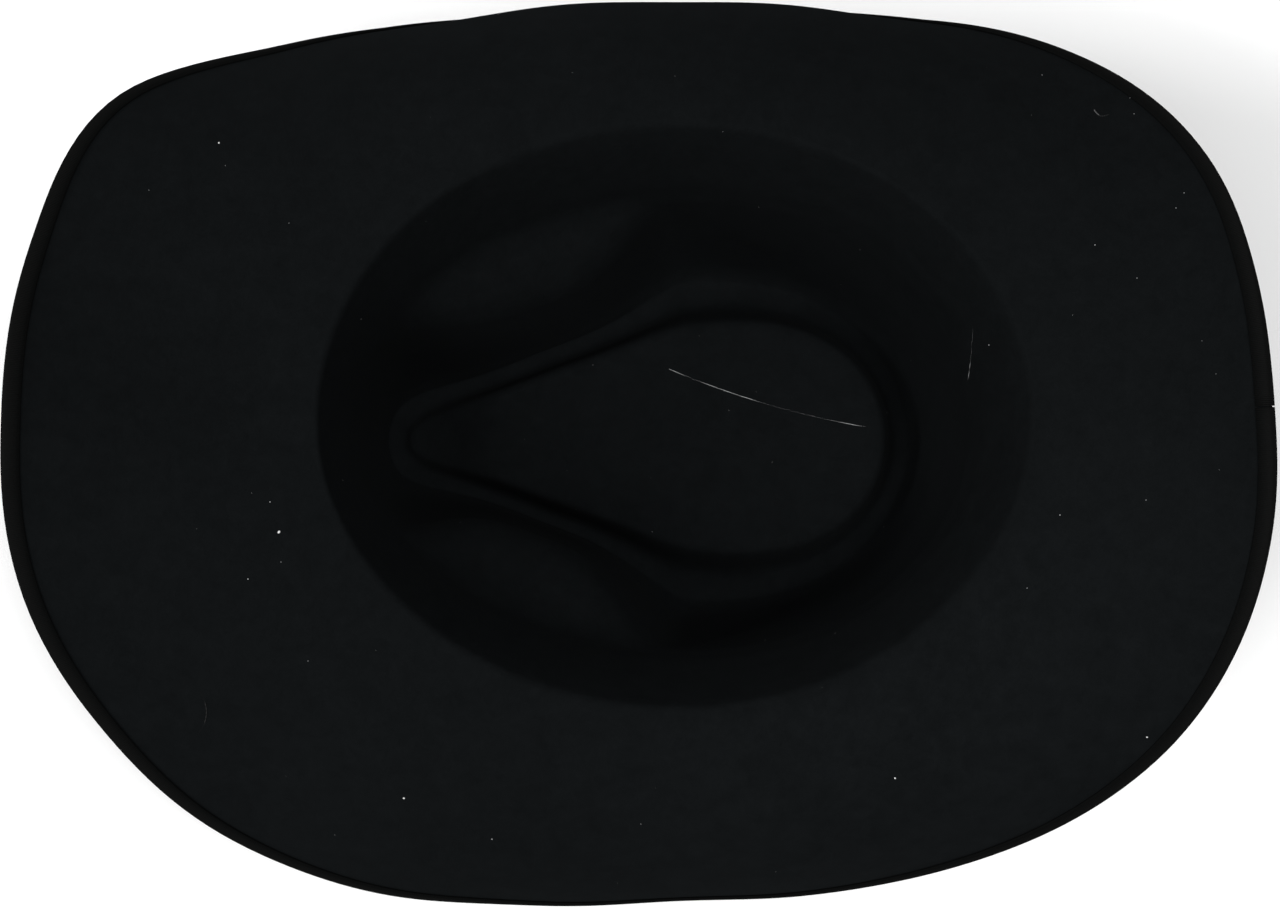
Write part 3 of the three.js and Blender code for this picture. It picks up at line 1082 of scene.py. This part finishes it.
@dataclass
class Lint:
    """White lint that lies on the felt where the photograph shows it, with finer dust scattered about."""

    hat: FeltHat
    camera: PhotoCamera
    steps: int = 64
    sides: int = 6
    speck_rings: int = 4
    flatness: float = 0.55
    glint_reach: float = 0.045
    thinnest: float = 0.1
    dust_count: int = 60
    dust_radius: tuple[float, float] = (0.035 * MM, 0.075 * MM)
    dust_first_row: int = 8
    stretch: tuple[float, float] = (0.75, 1.25)
    lifted: float = 0.6
    seed: int = 5

    def seat(self, pixels: np.ndarray) -> tuple[np.ndarray, np.ndarray, np.ndarray]:
        """Places on the felt's inner face under pixels.

        Each pixel's ray is met with the plane of the grid point that lies nearest to it in the picture.

        Args:
            pixels: Pixel columns and rows.

        Returns:
            Points, normals and the size of a pixel there.
        """
        grid = self.hat.inner.reshape(-1, 3)
        seen = self.camera.pixels(grid)
        nearest = ((pixels[:, None] - seen[None]) ** 2).sum(axis=-1).argmin(axis=1)
        normal = self.hat.normals.reshape(-1, 3)[nearest]
        start = self.camera.place()
        ray = self.camera.rays(pixels)
        depth = ((grid[nearest] - start) * normal).sum(axis=-1) / (ray * normal).sum(axis=-1)
        pixel = depth / (self.camera.pixels_per_metre * self.camera.distance)
        return start + ray * depth[:, None], normal, pixel

    def hair(self, row: HairRow) -> tuple[np.ndarray, list[list[int]]]:
        """One hair as a thin tube along a bowed line, with a bell-shaped swelling at each glint.

        Args:
            row: The hair.

        Returns:
            Points and faces.
        """
        t = np.linspace(0.0, 1.0, self.steps)
        start, end = np.array(row.start), np.array(row.end)
        side = np.array([start[1] - end[1], end[0] - start[0]]) / np.linalg.norm(end - start)
        path = start + t[:, None] * (end - start) + (4 * t * (1 - t) * row.bow)[:, None] * side
        centre, normal, pixel = self.seat(path)
        along = unit(np.gradient(centre, axis=0))
        across = unit(np.cross(along, normal))
        swell = np.exp(-(((t[:, None] - np.array(row.glints)) / self.glint_reach) ** 2)).max(axis=1)
        width = self.thinnest + (1 - self.thinnest) * swell
        radius = (row.half * pixel * width)[:, None, None]
        turn = 2 * np.pi * np.arange(self.sides) / self.sides
        ring = across[:, None] * np.cos(turn)[:, None] + normal[:, None] * np.sin(turn)[:, None]
        tube = centre[:, None] + radius * (ring + normal[:, None])
        faces = grid_faces(self.steps, self.sides).tolist()
        last = (self.steps - 1) * self.sides
        faces.append(list(reversed(range(self.sides))))
        faces.append([last + k for k in range(self.sides)])
        return tube.reshape(-1, 3), faces

    def ball(self) -> tuple[np.ndarray, list[list[int]]]:
        """A coarse ball of radius one: rings between two poles.

        Returns:
            Points and faces.
        """
        height = np.pi * (np.arange(self.speck_rings) + 1) / (self.speck_rings + 1)
        turn = 2 * np.pi * np.arange(self.sides) / self.sides
        wide = np.sin(height)[:, None]
        rings = as_points(wide * np.cos(turn), wide * np.sin(turn), np.cos(height)[:, None])
        count = self.speck_rings * self.sides
        points = np.concatenate([rings.reshape(-1, 3), [[0.0, 0.0, 1.0], [0.0, 0.0, -1.0]]])
        faces = grid_faces(self.speck_rings, self.sides).tolist()
        last = count - self.sides
        for k in range(self.sides):
            after = (k + 1) % self.sides
            faces.append([count, k, after])
            faces.append([count + 1, last + after, last + k])
        return points, faces

    def specks(self) -> bpy.types.Object:
        """Builds the specks and the finer dust as flattened, uneven balls.

        Returns:
            The object.
        """
        draw = np.random.default_rng(self.seed)
        rows = np.array(SPECKS)
        centre, normal, pixel = self.seat(rows[:, :2])
        radius = rows[:, 2] * pixel
        grid = self.hat.inner[self.dust_first_row:].reshape(-1, 3)
        pick = draw.integers(0, len(grid), self.dust_count)
        centre = np.concatenate([centre, grid[pick]])
        normal = np.concatenate([normal, self.hat.normals[self.dust_first_row:].reshape(-1, 3)[pick]])
        radius = np.concatenate([radius, draw.uniform(*self.dust_radius, self.dust_count)])
        side = unit(np.cross(normal, draw.normal(size=normal.shape)))
        other = np.cross(normal, side)
        stretch = draw.uniform(*self.stretch, (len(radius), 2))
        points, faces = self.ball()
        axes = np.stack([side * stretch[:, :1], other * stretch[:, 1:], normal * self.flatness], axis=1)
        bodies = np.einsum("pk,nkc->npc", points, axes) * radius[:, None, None]
        bodies = bodies + (centre + normal * (self.lifted * self.flatness * radius)[:, None])[:, None]
        firsts = [n * len(points) for n in range(len(radius))]
        all_faces = [[corner + first for corner in face] for first in firsts for face in faces]
        return make_object("lint_specks", bodies, all_faces)

    def hairs(self, kind: Fluff) -> bpy.types.Object:
        """Builds the hairs of one kind as one mesh.

        Args:
            kind: The kind of lint.

        Returns:
            The object.
        """
        points: list[np.ndarray] = []
        faces: list[list[int]] = []
        for row in (each for each in HAIRS if each.kind is kind):
            tube, own = self.hair(row)
            first = sum(map(len, points))
            points.append(tube)
            faces += [[corner + first for corner in face] for face in own]
        return make_object(kind.value + "_hairs", np.concatenate(points), faces)


@dataclass(frozen=True)
class SoftSun:
    """A soft far light: the height and bearing that it comes from, in degrees, and its strength."""

    name: str
    height: float
    bearing: float
    strength: float
    spread: float = 22.0

    def build(self) -> bpy.types.Object:
        """Makes the light and returns it."""
        data = bpy.data.lights.new(self.name, "SUN")
        data.energy = self.strength
        data.angle = math.radians(self.spread)
        made = bpy.data.objects.new(self.name, data)
        made.rotation_euler = (math.radians(90 - self.height), 0.0, math.radians(self.bearing + 90))
        bpy.context.scene.collection.objects.link(made)
        return made


@dataclass
class Studio:
    """Pale floor, soft lights and an even surround."""

    floor_side: float = 8.0
    floor_drop: float = 0.2 * MM
    surround: float = 0.16
    lights: tuple[SoftSun, ...] = (
        SoftSun("over", 79, 0, 2.1),
        SoftSun("over_right", 72, 225, 0.35),
        SoftSun("right_front", 52, 225, 1.1),
        SoftSun("front", 32, 180, 1.3),
    )

    def build(self) -> bpy.types.Object:
        """Makes the floor, the lights and the surround.

        Returns:
            The floor, which isn't part of the object.
        """
        half = self.floor_side / 2
        across = np.linspace(-half, half, 5)
        x, y = np.meshgrid(across, across, indexing="ij")
        points = as_points(x, y, np.full_like(x, -self.floor_drop))
        floor = make_object("floor", points, grid_faces(5, 5, closed=False).tolist())
        white = PlainFinish("floor_white", (0.9, 0.9, 0.9), (0.93, 0.93, 0.93), 2.0)
        floor.data.materials.append(white.build())
        for light in self.lights:
            light.build()
        world = bpy.data.worlds.new("surround")
        world.use_nodes = True
        background = world.node_tree.nodes["Background"]
        background.inputs["Color"].default_value = (1.0, 1.0, 1.0, 1.0)
        background.inputs["Strength"].default_value = self.surround
        bpy.context.scene.world = world
        bpy.context.scene.view_settings.view_transform = "Standard"
        return floor


def dress(
    piece: bpy.types.Object, material: bpy.types.Material, node: str | None = None
) -> None:
    """Gives a piece its finish and ties it to the frame.

    Args:
        piece: The object.
        material: Its finish.
        node: The solid that it stands for, if any.
    """
    piece.data.materials.append(material)
    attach(piece, "root")
    if node is not None:
        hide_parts(node)
    log.info("%s: %d faces", piece.name, len(piece.data.polygons))


def main() -> None:
    """Builds the hat on its frame, the floor, the lights and the camera."""
    logging.basicConfig(level=logging.INFO, format="%(name)s: %(message)s")
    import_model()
    camera = PhotoCamera()
    camera.build()
    hat = FeltHat()
    low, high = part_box("felt_body")
    hat.settle(np.array(low), np.array(high))
    dress(hat.felt_body(), FeltFinish().build(), "felt_body")
    dress(hat.edge_strip(), StripFinish().build(), "edge_binding")
    lint = Lint(hat, camera)
    fluff = {
        Fluff.WHITE: PlainFinish("lint_white", (0.45,) * 3, (0.70,) * 3, 900.0).build(),
        Fluff.PALE: PlainFinish("lint_pale", (0.06,) * 3, (0.10,) * 3, 900.0).build(),
        Fluff.GREY: PlainFinish("lint_grey", (0.012,) * 3, (0.018,) * 3, 900.0).build(),
    }
    for kind, finish in fluff.items():
        dress(lint.hairs(kind), finish)
    dress(lint.specks(), fluff[Fluff.WHITE])
    Studio().build()


if __name__ == "__main__":
    main()
